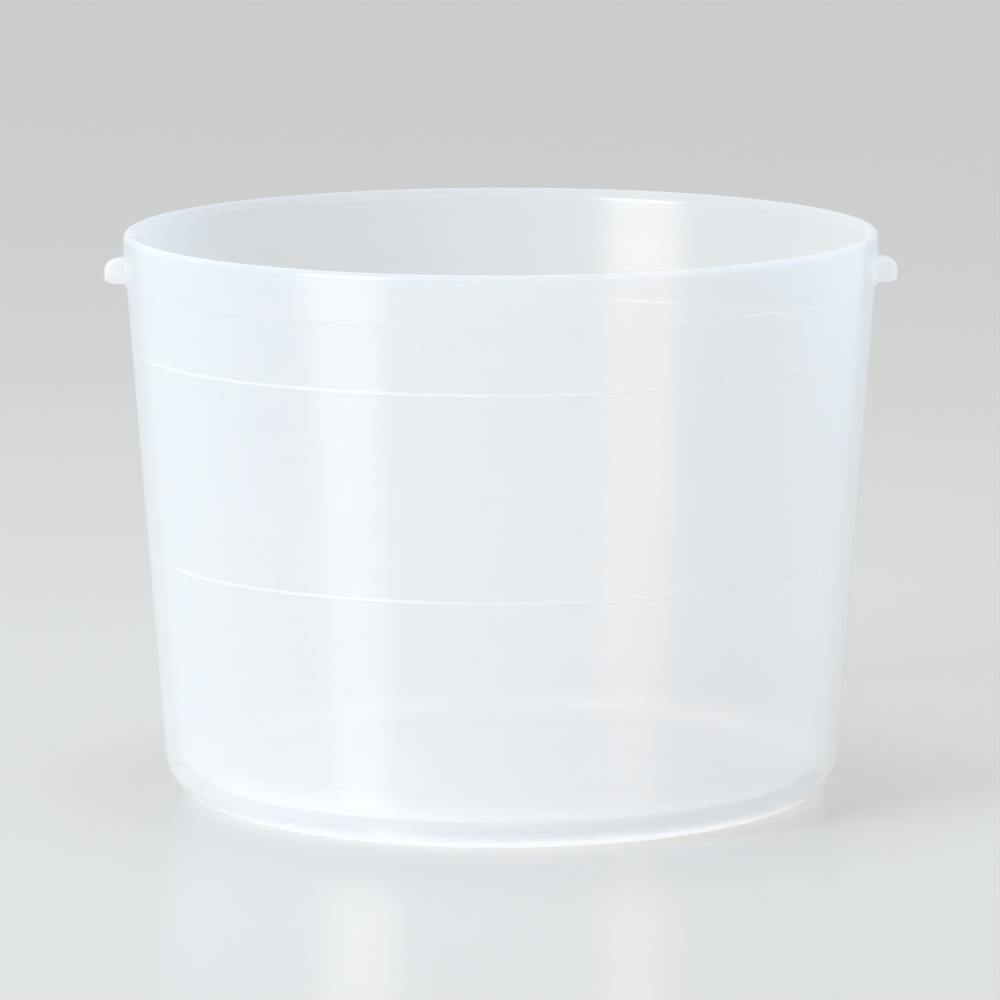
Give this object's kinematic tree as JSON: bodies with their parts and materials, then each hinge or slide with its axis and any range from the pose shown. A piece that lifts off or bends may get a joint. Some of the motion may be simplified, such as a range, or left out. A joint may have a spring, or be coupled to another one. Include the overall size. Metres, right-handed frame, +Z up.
{
  "type": "open food tub",
  "caption": "Round, slightly tapered open tub of translucent plastic with a collar at the rim, raised level lines, a foot ring and a catch lug on each side, for holding and measuring rice.",
  "frame": {"origin": "centre of the plane that the foot ring stands on", "axes": "+Z up along the tub's axis, +X through the right lug as seen from the front, -Y towards the viewer"},
  "size_m": [0.083, 0.079, 0.0596],
  "materials": {
    "shell_polypropylene": "natural polypropylene, smooth, milky and see-through",
    "lug_polypropylene": "natural polypropylene, smooth, milkier because it is thicker"
  },
  "bodies": {
    "root": {"tub": "shell_polypropylene", "left_lug": "lug_polypropylene", "right_lug": "lug_polypropylene"}
  },
  "joints": []
}
